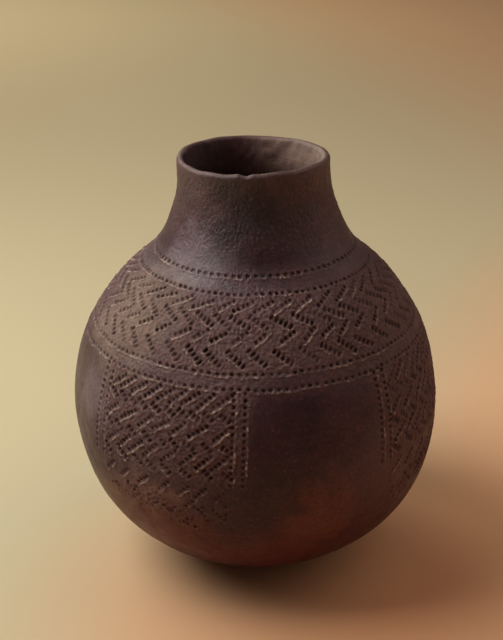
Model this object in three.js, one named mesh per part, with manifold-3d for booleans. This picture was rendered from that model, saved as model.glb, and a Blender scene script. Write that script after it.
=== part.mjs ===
import * as THREE from 'three';
import { mergeVertices } from 'three/addons/utils/BufferGeometryUtils.js';
import Module from 'manifold-3d';

// A round-bottomed pottery jar, built up by hand as such jars are: a pinched base bowl,
// then straps of clay luted on one above the other to the belly, shoulder, neck and rim.
// A comb is pressed into its shoulder and belly in slanted strokes.
// Millimetres, Z up. The jar stands on z = 0 with its axis on the Z axis.
// Azimuths are in degrees: 0 is towards -Y, and they grow towards +X.

const wasm = await Module();
wasm.setup();

// The outside of the wall, from the flat spot that the jar rests on up to its lip.
// Each place has its radius, and its rise above the place before it. Beside the belly,
// the radius is given as how far the wall has drawn in from the widest place.
const restRadius = 22;
const heelRadius = 40;
const heelRise = 3.4;
const undersideRadius = 64;
const undersideRise = 8.6;
const bowlTopRadius = 97.5;
const bowlTopRise = 23;
const lowerBellyInset = 10;
const lowerBellyRise = 32;
const bellyRadius = 130;
const bellyRise = 52;
const upperBellyInset = 8.5;
const upperBellyRise = 49;
const shoulderRadius = 104.5;
const shoulderRise = 30.5;
const collarRadius = 91.5;
const collarRise = 16;
const neckRootRadius = 69.3;
const neckRootRise = 21;
const neckRadius = 56;
const neckRise = 27;
const throatRadius = 51.3;
const throatRise = 21.5;
const mouthRadius = 51.6;
const mouthRise = 11;

// Thickness of the wall at the base, all over the body, and at the lip
const baseWall = 9;
const bodyWall = 6;
const lipWall = 5;

// Straps of clay in each part of the jar, and the length of the last one that makes the rim
const bellyStraps = 5;
const shoulderStraps = 2;
const neckStraps = 2;
const rimStrapLength = 20;

// Two straps meet in a slanted joint, which climbs this far along the wall from the
// outside to the inside, and leaves this gap between the two pieces
const jointLap = 8;
const jointGap = 0.3;

// The comb, as the length and spacing of its teeth, and the grooves that it leaves, as
// their widths at the wall and their depth
const toothLength = 2.5;
const toothPitch = 3.4;
const strokeWidth = 3.6;
const lineWidth = 2.6;
const stampDepth = 1.5;

// Level lines of stamps: the first runs round the neck root, a plain collar lies below it,
// then the stamped band between two lines, and a plain edge above the last line
const collarWidth = 13;
const bandWidth = 52;
const edgeWidth = 10;

// Rows of strokes in the band. Each has its share of the way down the band, its lean from
// level, the teeth in a stroke, the strokes round the jar and the azimuth of one of them.
const bandRows = [
  { share: 0.16, lean: 31, teeth: 5, strokes: 40, azimuth: 3.4 },
  { share: 0.37, lean: -34, teeth: 5, strokes: 46, azimuth: -21.5 },
  { share: 0.56, lean: 36, teeth: 4, strokes: 45, azimuth: 3.2 },
  { share: 0.81, lean: -41, teeth: 5, strokes: 45, azimuth: -6.5 },
];

// Stamped panels that hang from the last line, as the azimuths of their sides. A panel has
// a border of two upright lines on each side, and rows of strokes between the borders.
const panels = [
  { left: -54, right: -3 },
  { left: 40, right: 91 },
  { left: 133, right: 175 },
  { left: 217, right: 259 },
];
const panelLength = 76;
const borderLength = 64;
const borderGap = 7;
const borderClearance = 1.4;
const panelRows = [
  { share: 0.105, lean: 40, teeth: 5, spacing: 9.5 },
  { share: 0.23, lean: -36, teeth: 3, spacing: 9.5 },
  { share: 0.37, lean: 38, teeth: 5, spacing: 12.8 },
  { share: 0.495, lean: -38, teeth: 3, spacing: 11.5 },
  { share: 0.62, lean: 42, teeth: 5, spacing: 12.5 },
  { share: 0.74, lean: -38, teeth: 3, spacing: 12 },
  { share: 0.92, lean: 42, teeth: 4, spacing: 13.5 },
];

// A hand sets no two strokes alike: how far one strays along its row, as a share of the
// spacing, and from its lean, in degrees
const strokeStray = 0.13;
const leanStray = 4;

// Fineness of the round surfaces
const turnSegments = 36;
const outsideRowLength = 14;
const insideRowLength = 24;
const lipSteps = 4;
const outlineSamples = 600;

// Places along the outside of the wall, as radius and height
const places = [];
let height = 0;
for (const [radius, rise] of [
  [restRadius, 0],
  [heelRadius, heelRise],
  [undersideRadius, undersideRise],
  [bowlTopRadius, bowlTopRise],
  [bellyRadius - lowerBellyInset, lowerBellyRise],
  [bellyRadius, bellyRise],
  [bellyRadius - upperBellyInset, upperBellyRise],
  [shoulderRadius, shoulderRise],
  [collarRadius, collarRise],
  [neckRootRadius, neckRootRise],
  [neckRadius, neckRise],
  [throatRadius, throatRise],
  [mouthRadius, mouthRise],
]) {
  height += rise;
  places.push(new THREE.Vector3(radius, height, 0));
}
const [, , , bowlTop, , , , , , neckRoot] = places;
const outline = new THREE.CatmullRomCurve3(places, false, 'centripetal');
outline.arcLengthDivisions = outlineSamples;
const outlineLength = outline.getLength();

// Distance along the wall at which the outline passes a height
function lengthAtHeight(target) {
  let below = 0;
  let above = outlineLength;
  for (let halving = 0; halving < 40; halving += 1) {
    const middle = (below + above) / 2;
    if (outline.getPointAt(middle / outlineLength).y < target) {
      below = middle;
    } else {
      above = middle;
    }
  }
  return (below + above) / 2;
}

const bowlTopLength = lengthAtHeight(bowlTop.y);
const neckRootLength = lengthAtHeight(neckRoot.y);
const bandTop = neckRootLength - collarWidth;
const bandFoot = bandTop - bandWidth;
const panelTop = bandFoot - edgeWidth;

// Wall thickness at a distance along the wall: thick at the base, even over the body,
// and thinner up the neck to the lip
function wallAt(length) {
  if (length < bowlTopLength) {
    return THREE.MathUtils.lerp(baseWall, bodyWall, Math.max(length, 0) / bowlTopLength);
  }
  const up = (length - neckRootLength) / (outlineLength - neckRootLength);
  return THREE.MathUtils.lerp(bodyWall, lipWall, THREE.MathUtils.clamp(up, 0, 1));
}

function outsideAt(length) {
  const at = THREE.MathUtils.clamp(length / outlineLength, 0, 1);
  const point = outline.getPointAt(at);
  return new THREE.Vector2(point.x, point.y);
}

// Direction up the wall at a distance along it, as radius and height
function upAt(length) {
  const at = THREE.MathUtils.clamp(length / outlineLength, 0, 1);
  const tangent = outline.getTangentAt(at);
  return new THREE.Vector2(tangent.x, tangent.y);
}

// The point at a depth below the outside of the wall
function pointBelow(length, depth) {
  const up = upAt(length);
  return outsideAt(length).addScaledVector(new THREE.Vector2(-up.y, up.x), depth);
}

function insideAt(length) {
  return pointBelow(length, wallAt(length));
}

// Points along one face of the wall between two distances, with both ends
function facePoints(face, rowLength, from, to) {
  const rows = Math.max(1, Math.round(Math.abs(to - from) / rowLength));
  const points = [];
  for (let row = 0; row <= rows; row += 1) {
    points.push(face(THREE.MathUtils.lerp(from, to, row / rows)));
  }
  return points;
}

// Half of a joint's gap, measured along the wall across the slant
function halfGapAt(length) {
  const slant = Math.atan2(wallAt(length), jointLap);
  return jointGap / Math.sin(slant) / 2;
}

// The rounded lip: half a turn from the outer face of the rim over to the inner one
function lipPoints() {
  const outer = outsideAt(outlineLength);
  const inner = insideAt(outlineLength);
  const centre = outer.clone().add(inner).multiplyScalar(0.5);
  const points = [];
  for (let step = 1; step < lipSteps; step += 1) {
    const turn = (Math.PI * step) / lipSteps;
    points.push(outer.clone().rotateAround(centre, turn));
  }
  return points;
}

// Closed outline of a strap between two joints. The rim strap ends in the lip instead.
function strapPoints(from, to, isRim) {
  const foot = from + halfGapAt(from);
  const head = isRim ? to : to - halfGapAt(to);
  const innerHead = isRim ? to : head + jointLap;
  const points = facePoints(outsideAt, outsideRowLength, foot, head);
  if (isRim) {
    points.push(...lipPoints());
  }
  points.push(...facePoints(insideAt, insideRowLength, innerHead, foot + jointLap));
  points.push(points[0].clone());
  return points;
}

// Outline of the base bowl, from the axis at its underside round to the axis inside
function bowlPoints(to) {
  const head = to - halfGapAt(to);
  const points = [new THREE.Vector2(0, 0)];
  points.push(...facePoints(outsideAt, outsideRowLength, 0, head));
  points.push(...facePoints(insideAt, insideRowLength, head + jointLap, 0));
  points.push(new THREE.Vector2(0, insideAt(0).y));
  return points;
}

// Fired clay of each part of the jar: redder under the belly, near black up the neck
const clay = (colour, roughness) => new THREE.MeshStandardMaterial({
  color: colour,
  roughness,
  metalness: 0,
});
const baseClay = clay(0x5a2d1e, 0.42);
const bellyClay = clay(0x45302a, 0.4);
const shoulderClay = clay(0x52423a, 0.55);
const neckClay = clay(0x3a2926, 0.5);
const rimClay = clay(0x5c4b43, 0.6);

// An outline turned about the jar's axis
function turned(points) {
  return new THREE.LatheGeometry(points, turnSegments).rotateX(Math.PI / 2);
}

// Sets a shape drawn with X level, Y up the wall and Z outwards on the wall
function setOnWall(geometry, length, azimuth) {
  const turn = THREE.MathUtils.degToRad(azimuth);
  const point = outsideAt(length);
  const up = upAt(length);
  const around = (radius, rise) => new THREE.Vector3(
    radius * Math.sin(turn),
    -radius * Math.cos(turn),
    rise,
  );
  const level = new THREE.Vector3(Math.cos(turn), Math.sin(turn), 0);
  const placed = new THREE.Matrix4()
    .makeBasis(level, around(up.x, up.y), around(up.y, -up.x))
    .setPosition(around(point.x, point.y));
  return geometry.applyMatrix4(placed);
}

// Length of a stroke of the comb
function strokeLength(teeth) {
  return (teeth - 1) * toothPitch + toothLength;
}

// The groove of one stroke of the comb: a bar with one edge down, half sunk in the wall
function strokeCutter(length, azimuth, lean, teeth) {
  const reach = strokeLength(teeth) / 2;
  const section = new THREE.Shape([
    new THREE.Vector2(0, -stampDepth),
    new THREE.Vector2(strokeWidth, stampDepth),
    new THREE.Vector2(-strokeWidth, stampDepth),
  ]);
  const shape = new THREE.ExtrudeGeometry(section, { depth: 2 * reach, bevelEnabled: false });
  shape.translate(0, 0, -reach).rotateX(Math.PI / 2).rotateZ(Math.PI / 2);
  shape.rotateZ(THREE.MathUtils.degToRad(lean));
  return { from: length - reach, to: length + reach, shape: setOnWall(shape, length, azimuth) };
}

// The groove of a level line of stamps all round the jar
function lineCutter(length) {
  const from = length - lineWidth;
  const to = length + lineWidth;
  const points = [
    pointBelow(from, -stampDepth),
    pointBelow(to, -stampDepth),
    pointBelow(length, stampDepth),
    pointBelow(from, -stampDepth),
  ];
  return { from, to, shape: turned(points) };
}

// The groove of an upright line of stamps, which follows the belly's curve
function borderCutter(azimuth) {
  const foot = panelTop - borderLength;
  const above = (length) => pointBelow(length, -stampDepth);
  const below = (length) => pointBelow(length, stampDepth);
  const strip = new THREE.Shape([
    ...facePoints(above, outsideRowLength, foot, panelTop),
    ...facePoints(below, outsideRowLength, panelTop, foot),
  ]);
  const shape = new THREE.ExtrudeGeometry(strip, { depth: lineWidth, bevelEnabled: false });
  shape.translate(0, 0, -lineWidth / 2).rotateX(Math.PI / 2);
  shape.rotateZ(THREE.MathUtils.degToRad(azimuth - 90));
  return { from: foot, to: panelTop, shape };
}

// Azimuth that a length along a level line of the wall spans, in degrees
function spanAt(length, width) {
  return THREE.MathUtils.radToDeg(width / outsideAt(length).x);
}

// Strokes of one row, from the azimuth of the first and their spacing in degrees
function rowCutters(row, index, length, first, spacing, strokes) {
  const cutters = [];
  for (let stroke = 0; stroke < strokes; stroke += 1) {
    const stray = strokeStray * Math.sin(5 * stroke + 2 * index);
    const lean = row.lean + leanStray * Math.sin(3 * stroke + index);
    cutters.push(strokeCutter(length, first + (stroke + stray) * spacing, lean, row.teeth));
  }
  return cutters;
}

function bandCutters() {
  return bandRows.flatMap((row, index) => {
    const length = bandTop - row.share * bandWidth;
    return rowCutters(row, index, length, row.azimuth, 360 / row.strokes, row.strokes);
  });
}

// A panel's rows are stamped after its borders, so its strokes keep clear of them
function panelCutters(panel) {
  const gap = spanAt(panelTop, borderGap);
  const borders = [panel.left, panel.left + gap, panel.right - gap, panel.right];
  const rows = panelRows.flatMap((row, index) => {
    const length = panelTop - row.share * panelLength;
    const reach = strokeLength(row.teeth) * Math.cos(THREE.MathUtils.degToRad(row.lean)) / 2;
    const inset = gap + spanAt(length, reach + borderClearance);
    const width = panel.right - panel.left - 2 * inset;
    const spaces = Math.max(1, Math.round(width / spanAt(length, row.spacing)));
    const first = panel.left + inset;
    return rowCutters(row, index, length, first, width / spaces, spaces + 1);
  });
  return [...borders.map(borderCutter), ...rows];
}

const stamps = [
  ...[neckRootLength, bandTop, bandFoot, panelTop].map(lineCutter),
  ...bandCutters(),
  ...panels.flatMap(panelCutters),
];

// A closed mesh as a solid that can be cut
function solidOf(geometry) {
  geometry.deleteAttribute('normal');
  geometry.deleteAttribute('uv');
  const merged = mergeVertices(geometry);
  const corners = [...merged.index.array];
  const faces = [];
  for (let face = 0; face < corners.length; face += 3) {
    const [a, b, c] = corners.slice(face, face + 3);
    if (a !== b && b !== c && c !== a) {
      faces.push(a, b, c);
    }
  }
  return new wasm.Manifold(new wasm.Mesh({
    numProp: 3,
    vertProperties: merged.attributes.position.array,
    triVerts: new Uint32Array(faces),
  }));
}

const jar = new THREE.Group();

// Turns an outline about the jar's axis, cuts the stamps that reach it, and names the piece
function addPiece(name, points, from, to, material) {
  let solid = solidOf(turned(points));
  for (const stamp of stamps.filter((cutter) => cutter.to > from && cutter.from < to)) {
    solid = solid.subtract(solidOf(stamp.shape.clone()));
  }
  const cut = solid.getMesh();
  const geometry = new THREE.BufferGeometry();
  geometry.setAttribute('position', new THREE.BufferAttribute(cut.vertProperties, 3));
  geometry.setIndex(new THREE.BufferAttribute(cut.triVerts, 1));
  geometry.computeVertexNormals();
  const piece = new THREE.Mesh(geometry, material);
  piece.name = name;
  jar.add(piece);
}

// Straps that share a stretch of the wall equally, numbered upwards
function addStraps(name, count, from, to, material) {
  const strapLength = (to - from) / count;
  for (let strap = 0; strap < count; strap += 1) {
    const start = from + strap * strapLength;
    const end = start + strapLength;
    addPiece(`${name}_${strap + 1}`, strapPoints(start, end, false), start, end, material);
  }
}

// The shoulder is joined on in the plain edge, and the neck in the plain collar
const shoulderLength = (panelTop + bandFoot) / 2;
const neckLength = (bandTop + neckRootLength) / 2;
const rimLength = outlineLength - rimStrapLength;
const rimPoints = strapPoints(rimLength, outlineLength, true);

addPiece('base_bowl', bowlPoints(bowlTopLength), 0, bowlTopLength, baseClay);
addStraps('belly_coil', bellyStraps, bowlTopLength, shoulderLength, bellyClay);
addStraps('shoulder_coil', shoulderStraps, shoulderLength, neckLength, shoulderClay);
addStraps('neck_coil', neckStraps, neckLength, rimLength, neckClay);
addPiece('rim_coil', rimPoints, rimLength, outlineLength, rimClay);

export default jar;
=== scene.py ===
import math

import bpy
import numpy as np
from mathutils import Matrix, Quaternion, Vector
from mathutils.bvhtree import BVHTree


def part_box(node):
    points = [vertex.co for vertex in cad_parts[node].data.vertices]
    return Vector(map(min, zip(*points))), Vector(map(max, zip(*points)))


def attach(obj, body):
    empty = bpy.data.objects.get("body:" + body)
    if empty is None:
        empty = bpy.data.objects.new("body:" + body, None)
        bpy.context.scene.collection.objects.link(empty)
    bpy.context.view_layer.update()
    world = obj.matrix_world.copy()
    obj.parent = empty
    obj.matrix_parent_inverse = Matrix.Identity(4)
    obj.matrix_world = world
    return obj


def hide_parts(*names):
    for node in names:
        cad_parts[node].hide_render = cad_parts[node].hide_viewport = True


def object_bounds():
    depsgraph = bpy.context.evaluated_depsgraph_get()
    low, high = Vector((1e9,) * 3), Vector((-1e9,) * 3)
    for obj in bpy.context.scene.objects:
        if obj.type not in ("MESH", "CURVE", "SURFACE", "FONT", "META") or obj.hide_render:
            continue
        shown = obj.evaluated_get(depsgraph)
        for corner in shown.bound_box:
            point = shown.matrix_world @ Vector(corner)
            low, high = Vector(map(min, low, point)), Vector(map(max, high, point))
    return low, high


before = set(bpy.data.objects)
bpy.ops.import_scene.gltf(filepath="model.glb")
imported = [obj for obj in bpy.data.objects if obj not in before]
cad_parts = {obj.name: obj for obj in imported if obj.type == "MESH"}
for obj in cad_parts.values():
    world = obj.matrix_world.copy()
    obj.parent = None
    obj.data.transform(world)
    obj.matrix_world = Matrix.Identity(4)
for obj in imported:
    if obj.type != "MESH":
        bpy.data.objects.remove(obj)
cad_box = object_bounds()

# A coil-built jar of smoke-fired clay, burnished outside and stamped with a comb.
# Sizes here are in millimetres and become metres where a mesh, lamp or camera is made.
# Heights are above the floor. Azimuths are in degrees: 0 faces the camera, 90 is on its right.
MM = 0.001

# Fineness of the modelled wall: steps round the jar, the height of a row of faces where the
# clay is stamped, plain or inside, and the steps over the lip
TURN_STEPS = 1360
STAMPED_ROW = 0.6
PLAIN_ROWS = {"base_bowl": 2.4, "belly_coil_1": 1.2, "neck_coil_2": 0.9}
INSIDE_ROWS = {"rim_coil": 1.2, "neck_coil_2": 2.0}
INSIDE_ROW = 6.0
LIP_STEPS = 10

# The comb: blunt teeth, each wider than it is long. Strokes that lean down to the right are
# pressed straight in, with the full width of a tooth, and the others are pressed askew.
TOOTH_LENGTH = 2.5
TOOTH_PITCH = 3.4
FULL_WIDTH = 4.9
ASKEW_WIDTH = 3.5

# A tooth's pit: its depth, how soft its slope and how square its corners are, the share of a
# tooth that its edge lies at, and how far it and its lip can reach
PIT_DEPTH = 1.5
PIT_SLOPE = 0.8
PIT_SQUARENESS = 2.5
PIT_EDGE = 1.1
PIT_REACH = 0.8

# The lip of clay round a pit: its height, the share of it above the pit, and its place and
# spread as shares of a tooth. The trough between teeth: its share of the depth and its edge.
LIP_HEIGHT = 0.45
LIP_ABOVE = 0.1
LIP_PLACE = 1.3
LIP_SPREAD = 0.22
TROUGH_SHARE = 0.3
TROUGH_EDGE = 1.2

# A burr, the thin ridge of clay pushed up beside teeth: its section, its soft ends, its wobble
# and its swelling, each with a length
BURR_HEIGHT = 0.9
BURR_WIDTH = 0.65
BURR_END = 2.5
BURR_WOBBLE = 0.28
WOBBLE_LENGTH = 1.7
BURR_SWELL = 0.2
SWELL_LENGTH = 0.9

# Where a stroke's burr lies: away from the pits, past them if askew, and longer than they are.
# Its height varies, and it is low where the comb was pressed straight in.
BURR_AWAY = 0.5
BURR_PAST = 1.8
BURR_OVERHANG = 3.0
BURR_SHARES = (0.5, 1.1)
STRAIGHT_BURR = 0.4

# A hand's unevenness: how far a stroke drifts, how firm it is and how much the comb rocks, and
# how far a tooth strays and turns, and its share of the depth and the width
STROKE_DRIFT = 0.35
STROKE_FIRMNESS = (0.6, 1.15)
COMB_ROCK = 0.1
TOOTH_STRAY = 0.15
TOOTH_TURN = 0.1
DEPTH_SHARES = (0.8, 1.1)
WIDTH_SHARES = (0.85, 1.1)

# Room round a mark in the field that it is pressed into
MARK_ROOM = 1.5

# The stamps lie where the solids have their grooves. Four level rings: at the neck root,
# below the plain collar, below the herringbone band and below a plain edge.
RING_HEIGHTS = (235.5, 226.3, 187.0, 178.2)
COLLAR_WIDTH = 13.0
BAND_WIDTH = 52.0
EDGE_WIDTH = 10.0
RING_PITCHES = (4.8, 4.4, 4.9, 5.0)

# A ring's teeth: length and width, lean, depths, how many are pressed at a time, and how far
# such a press drifts and a tooth strays. Its burrs: how far below, length in pitches, heights.
RING_TOOTH = (3.4, 2.6)
RING_LEAN = -0.25
RING_DEPTHS = (0.5, 0.95)
RING_PRESS = 6
RING_DRIFT = 0.3
RING_STRAY = 0.07
RING_BURR_BELOW = 1.9
RING_BURR_LENGTH = 1.6
RING_BURRS = (0.1, 0.8)

# Herringbone rows: share of the way down the band, lean, teeth, strokes round the jar and the
# azimuth of one stroke
BAND_ROWS = (
    (0.16, 31, 5, 40, 3.4),
    (0.37, -34, 5, 46, -21.5),
    (0.56, 36, 4, 45, 3.2),
    (0.81, -41, 5, 45, -6.5),
)

# Four stamped panels below the fourth ring, as the azimuths of their two sides
PANELS = ((-54.0, -3.0), (40.0, 91.0), (133.0, 175.0), (217.0, 259.0))
PANEL_LENGTH = 76.0
BORDER_LENGTH = 64.0
BORDER_GAP = 7.0
BORDER_CLEARANCE = 1.4
BORDER_PITCH = 4.4
BORDER_DRIFT = -1.0
BORDER_TOOTH = (3.0, 3.2)
BORDER_DEPTHS = (0.6, 1.1)
BORDER_FADE = 0.4
BORDER_BURR_ASIDE = 2.1
BORDER_BURR_LENGTH = 1.5
BORDER_BURRS = (0.3, 1.0)

# Rows in a panel: share of the way down it, lean, teeth and spacing of the strokes
PANEL_ROWS = (
    (0.105, 40, 5, 9.5),
    (0.23, -36, 3, 9.5),
    (0.37, 38, 5, 12.8),
    (0.495, -38, 3, 11.5),
    (0.62, 42, 5, 12.5),
    (0.74, -38, 3, 12.0),
    (0.92, 42, 4, 13.5),
)

# How far a stroke strays along its row, as a share of the spacing, and from its lean
STROKE_STRAY = 0.13
LEAN_STRAY = 4.0

# Worn strokes below a panel: how many, how far down, how far in from its sides, leans, teeth
WORN_STROKES = 13
WORN_STROKES_DOWN = (1.0, 16.0)
WORN_STROKES_IN = 6.0
WORN_LEANS = (-38.0, 42.0)
WORN_TEETH = 3

# Single teeth left there: how many, how far down and in, lean, length and width, and depths
POCKS = 36
POCKS_DOWN = (2.0, 24.0)
POCKS_IN = 4.0
POCK_LEAN = 0.7
POCK_TOOTH = (2.6, 3.2)
POCK_DEPTHS = (0.5, 1.1)

# Marks of the smoothing tool above the first ring, and fine lines up the neck
TOOL_MARKS = 4
TOOL_MARK_AZIMUTHS = (-60.0, -42.0)
TOOL_MARK_HEIGHTS = (239.0, 245.0)
TOOL_MARK_LEANS = (-4.0, 12.0)
TOOL_MARK_LENGTHS = (8.0, 14.0)
TOOL_MARK_DEPTH = 0.5
FINE_LINES = 40
FINE_LINE_HEIGHTS = (245.0, 285.0)
FINE_LINE_LEAN = 14.0
FINE_LINE_LENGTHS = (8.0, 26.0)
FINE_LINE_DEPTH = 0.1
SCRATCH_WIDTH = 0.45
SCRATCH_END = 3.0
SCRATCH_DEPTH = 0.5

# Heights between which wear has rubbed the stamps down, and the side that is the least handled
WORN_BELOW = 116.0
WORN_AWAY = 62.0
FRESH_AZIMUTH = -35.0

# How fresh the stamps are on average and how much that swings round the jar, and how whole
# their ridges are before they break
FRESH_MIDDLE = 0.5
FRESH_SWING = 0.8
RIDGES_WHOLE = 0.7

# What wear leaves at the least: of the pits and ridges on the handled side, and of a ridge
# where it has broken
PITS_LEFT = 0.8
RIDGES_LEFT = 0.15
BROKEN_LEFT = 0.3

# Ripples, as pairs of strength and size: the patches of wear, the breaks in ridges, crumbled
# clay, the soft swell of straps, burnishing and grit, the neck's roughness, and dents inside
WEAR_RIPPLES = ((0.45, 16.0),)
BREAK_RIPPLES = ((0.9, 2.4),)
CRUMB_RIPPLES = ((0.42, 1.3), (0.12, 3.2))
SWELL_RIPPLES = ((0.35, 70.0), (0.22, 26.0), (0.08, 7.0), (0.04, 2.2))
NECK_RIPPLES = ((0.16, 1.5), (0.12, 9.0))
DENT_RIPPLES = ((0.6, 14.0), (0.4, 5.0))

# Radii at which the ripples have their size: on the shoulder and on the neck
MIDDLE_RADIUS = 95.0
NECK_RADIUS = 56.0

# How many steps the crumbled clay spreads from the pits, and how soon it is full
CRUMB_SPREAD = 6
CRUMB_GAIN = 8.0

# The neck was only smoothed: its share of crumbs, where it starts above the first ring, and
# how far from there it is full
NECK_CRUMBS = 0.28
NECK_START = 6.0
NECK_FADE = 20.0

# The relief fades out towards the lip and the foot
LIP_FADE = 4.0
FOOT_FADE = 12.0

# The hand-made shape: how far the axis wanders and in what length, the waves of the lip as
# size, folds and turn, its fine waves, how far they reach down and sink it, and its chip
AXIS_WANDER = 0.85
AXIS_WAVE = 197.0
LIP_WAVE = 0.8
LIP_WAVES = ((0.9, 2, 0.0), (0.3, 3, 1.0))
FINE_WAVE = 0.09
FINE_FOLDS = range(5, 17)
LIP_SINK = 0.6
LIP_REACH = 14.0
CHIP_AZIMUTH = -6.0
CHIP_WIDTH = 6.5
CHIP_DEPTH = 1.4
CHIP_REACH = 7.0

random = np.random.default_rng(7)


def smooth_step(amount):
    """0 below 0 and 1 above 1, with a soft change between."""
    amount = np.clip(amount, 0.0, 1.0)
    return amount * amount * (3.0 - 2.0 * amount)


def at_least(low, share):
    """From the low value, where the share is 0, up to 1."""
    return low + (1.0 - low) * share


def smooth_curve(knots, values):
    """A natural cubic spline through the values at the knots."""
    gaps = np.diff(knots)
    slopes = np.diff(values) / gaps
    count = len(knots)
    system = np.eye(count)
    bends = np.zeros(count)
    for i in range(1, count - 1):
        system[i, i - 1:i + 2] = gaps[i - 1], 2.0 * (gaps[i - 1] + gaps[i]), gaps[i]
        bends[i] = 6.0 * (slopes[i] - slopes[i - 1])
    curvature = np.linalg.solve(system, bends)

    def curve(place):
        i = np.clip(np.searchsorted(knots, place) - 1, 0, count - 2)
        above = (knots[i + 1] - place) / gaps[i]
        below = (place - knots[i]) / gaps[i]
        line = above * values[i] + below * values[i + 1]
        bend = (above ** 3 - above) * curvature[i] + (below ** 3 - below) * curvature[i + 1]
        return line + bend * gaps[i] ** 2 / 6.0

    return curve


# The wall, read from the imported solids

# The solids' meridians are this many degrees apart, and a corner is on one if it is no more
# than this share of that angle off it. A corner that recurs this often on them belongs to the
# profile, whose corners lie at least this far apart.
MERIDIAN_ANGLE = 10.0
OFF_MERIDIAN = 0.001
REPEATS = 8
CORNER_GAP = 0.5

# A ring's groove reaches this far above and below it
GROOVE_REACH = 2.2

# Where the rounding of the lip starts below the top, and how near the axis the base is flat
LIP_ROUNDING = 2.2
AXIS_CLEARANCE = 1.0

# A ray that feels for the other face starts a step off the corner, beside the meridian, and
# looks inwards up to this far short of the jar's middle
FEEL_STEP = 0.5
FEEL_ASIDE = 0.05
FEEL_SHORT = 5.0


def solids_tree():
    """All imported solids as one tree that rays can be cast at."""
    corners = []
    faces = []
    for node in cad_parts.values():
        first = len(corners)
        corners.extend(corner.co.copy() for corner in node.data.vertices)
        faces.extend([first + index for index in face.vertices] for face in node.data.polygons)
    return BVHTree.FromPolygons(corners, faces)


def profile_corners(name):
    """Radius and height in millimetres of the corners that a solid repeats on its meridians.
    A stroke's own corners don't recur there, and a ring's groove is passed over."""
    corners = np.array([corner.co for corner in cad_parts[name].data.vertices]) / MM
    corners = np.unique(np.round(corners, 3), axis=0)
    radii = np.hypot(corners[:, 0], corners[:, 1])
    turn = np.degrees(np.arctan2(corners[:, 0], -corners[:, 1])) / MERIDIAN_ANGLE
    on_meridian = abs(turn - np.round(turn)) < OFF_MERIDIAN
    profile = np.round(np.column_stack([radii, corners[:, 2]])[on_meridian], 2)
    found, counts = np.unique(profile, axis=0, return_counts=True)
    kept = []
    for corner in found[counts >= REPEATS]:
        in_groove = min(abs(corner[1] - height) for height in RING_HEIGHTS) < GROOVE_REACH
        new = all(math.dist(corner, other) > CORNER_GAP for other in kept)
        if new and not in_groove:
            kept.append(corner)
    return kept


def face_of(tree, corner):
    """Whether a corner is on the outer or the inner face of the wall, felt by rays that leave
    the jar's middle below the belly and run level above it."""
    beside = Vector((corner[0], FEEL_ASIDE, corner[1])) * MM
    way = beside - Vector((0.0, 0.0, max(corner[1], HEART))) * MM
    clear = way.length - FEEL_SHORT * MM
    way.normalize()
    step = FEEL_STEP * MM * way
    if tree.ray_cast(beside + step, way)[0] is None:
        return "outer"
    if tree.ray_cast(beside - step, -way, max(clear, MM))[0] is None:
        return "inner"
    return None


# The solids from the base up, the jar's height, and the height of the belly's middle
NAMES = sorted(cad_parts, key=lambda name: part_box(name)[0][2])
TOP = cad_box[1][2] / MM
HEART = 0.5 * (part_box("belly_coil_3")[0][2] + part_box("belly_coil_3")[1][2]) / MM


def read_face(face):
    """One face of the wall from the base up, as its radius and height along it, and each
    solid's stretch of it. Two solids meet midway between their corners."""
    tree = solids_tree()
    profiles = []
    for name in NAMES:
        mine = [c for c in profile_corners(name) if c[0] > AXIS_CLEARANCE]
        mine = [c for c in mine if c[1] < TOP - LIP_ROUNDING]
        mine = [c for c in mine if face_of(tree, c) == face]
        profiles.append(sorted(mine, key=lambda c: math.atan2(c[1] - HEART, c[0])))
    corners = [profiles[0][0]]
    ends = [0]
    for lower, upper in zip(profiles, profiles[1:]):
        corners.extend(lower[1:-1])
        ends.append(len(corners))
        corners.append(0.5 * (lower[-1] + upper[0]))
    corners.extend(profiles[-1][1:])
    ends.append(len(corners) - 1)
    corners = np.array(corners)
    steps = np.hypot(*np.diff(corners, axis=0).T)
    places = corners[0, 0] + np.concatenate([[0.0], np.cumsum(steps)])
    stretches = {name: (places[i], places[j]) for name, i, j in zip(NAMES, ends, ends[1:])}
    return smooth_curve(places, corners[:, 0]), smooth_curve(places, corners[:, 1]), stretches


outer_radius, outer_height, outer_ends = read_face("outer")
inner_radius, inner_height, inner_ends = read_face("inner")


def rows_between(start, end, step):
    """Places from the start to the end, evenly apart by about the step."""
    count = max(1, round((end - start) / step))
    return np.linspace(start, end, count + 1)


# Rows of the outer face for each piece, and all of them together as one field
piece_rows = {name: rows_between(*outer_ends[name], PLAIN_ROWS.get(name, STAMPED_ROW))
              for name in NAMES}
row_places = np.concatenate([piece_rows[name] for name in NAMES])
row_radii = outer_radius(row_places)
row_heights = outer_height(row_places)
STEP_ANGLE = 2.0 * math.pi / TURN_STEPS

# The rows that two pieces share at a joint, and the marks of a point that lies on no row and
# of a joint's corner on the inner face
seam_rows = np.cumsum([len(piece_rows[name]) for name in NAMES])[:-1]
NO_ROW = -1
INNER_SEAM = -2
seam_marks = [INNER_SEAM, *(seam_rows - 1), *seam_rows]


# The stamps, pressed into fields over the outer face

pits = np.zeros((len(row_places), TURN_STEPS))
ridges = np.zeros((len(row_places), TURN_STEPS))
scratches = np.zeros((len(row_places), TURN_STEPS))


def place_at(height):
    """Distance along the outer face at which it passes a height."""
    return float(np.interp(height, row_heights, row_places))


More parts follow.
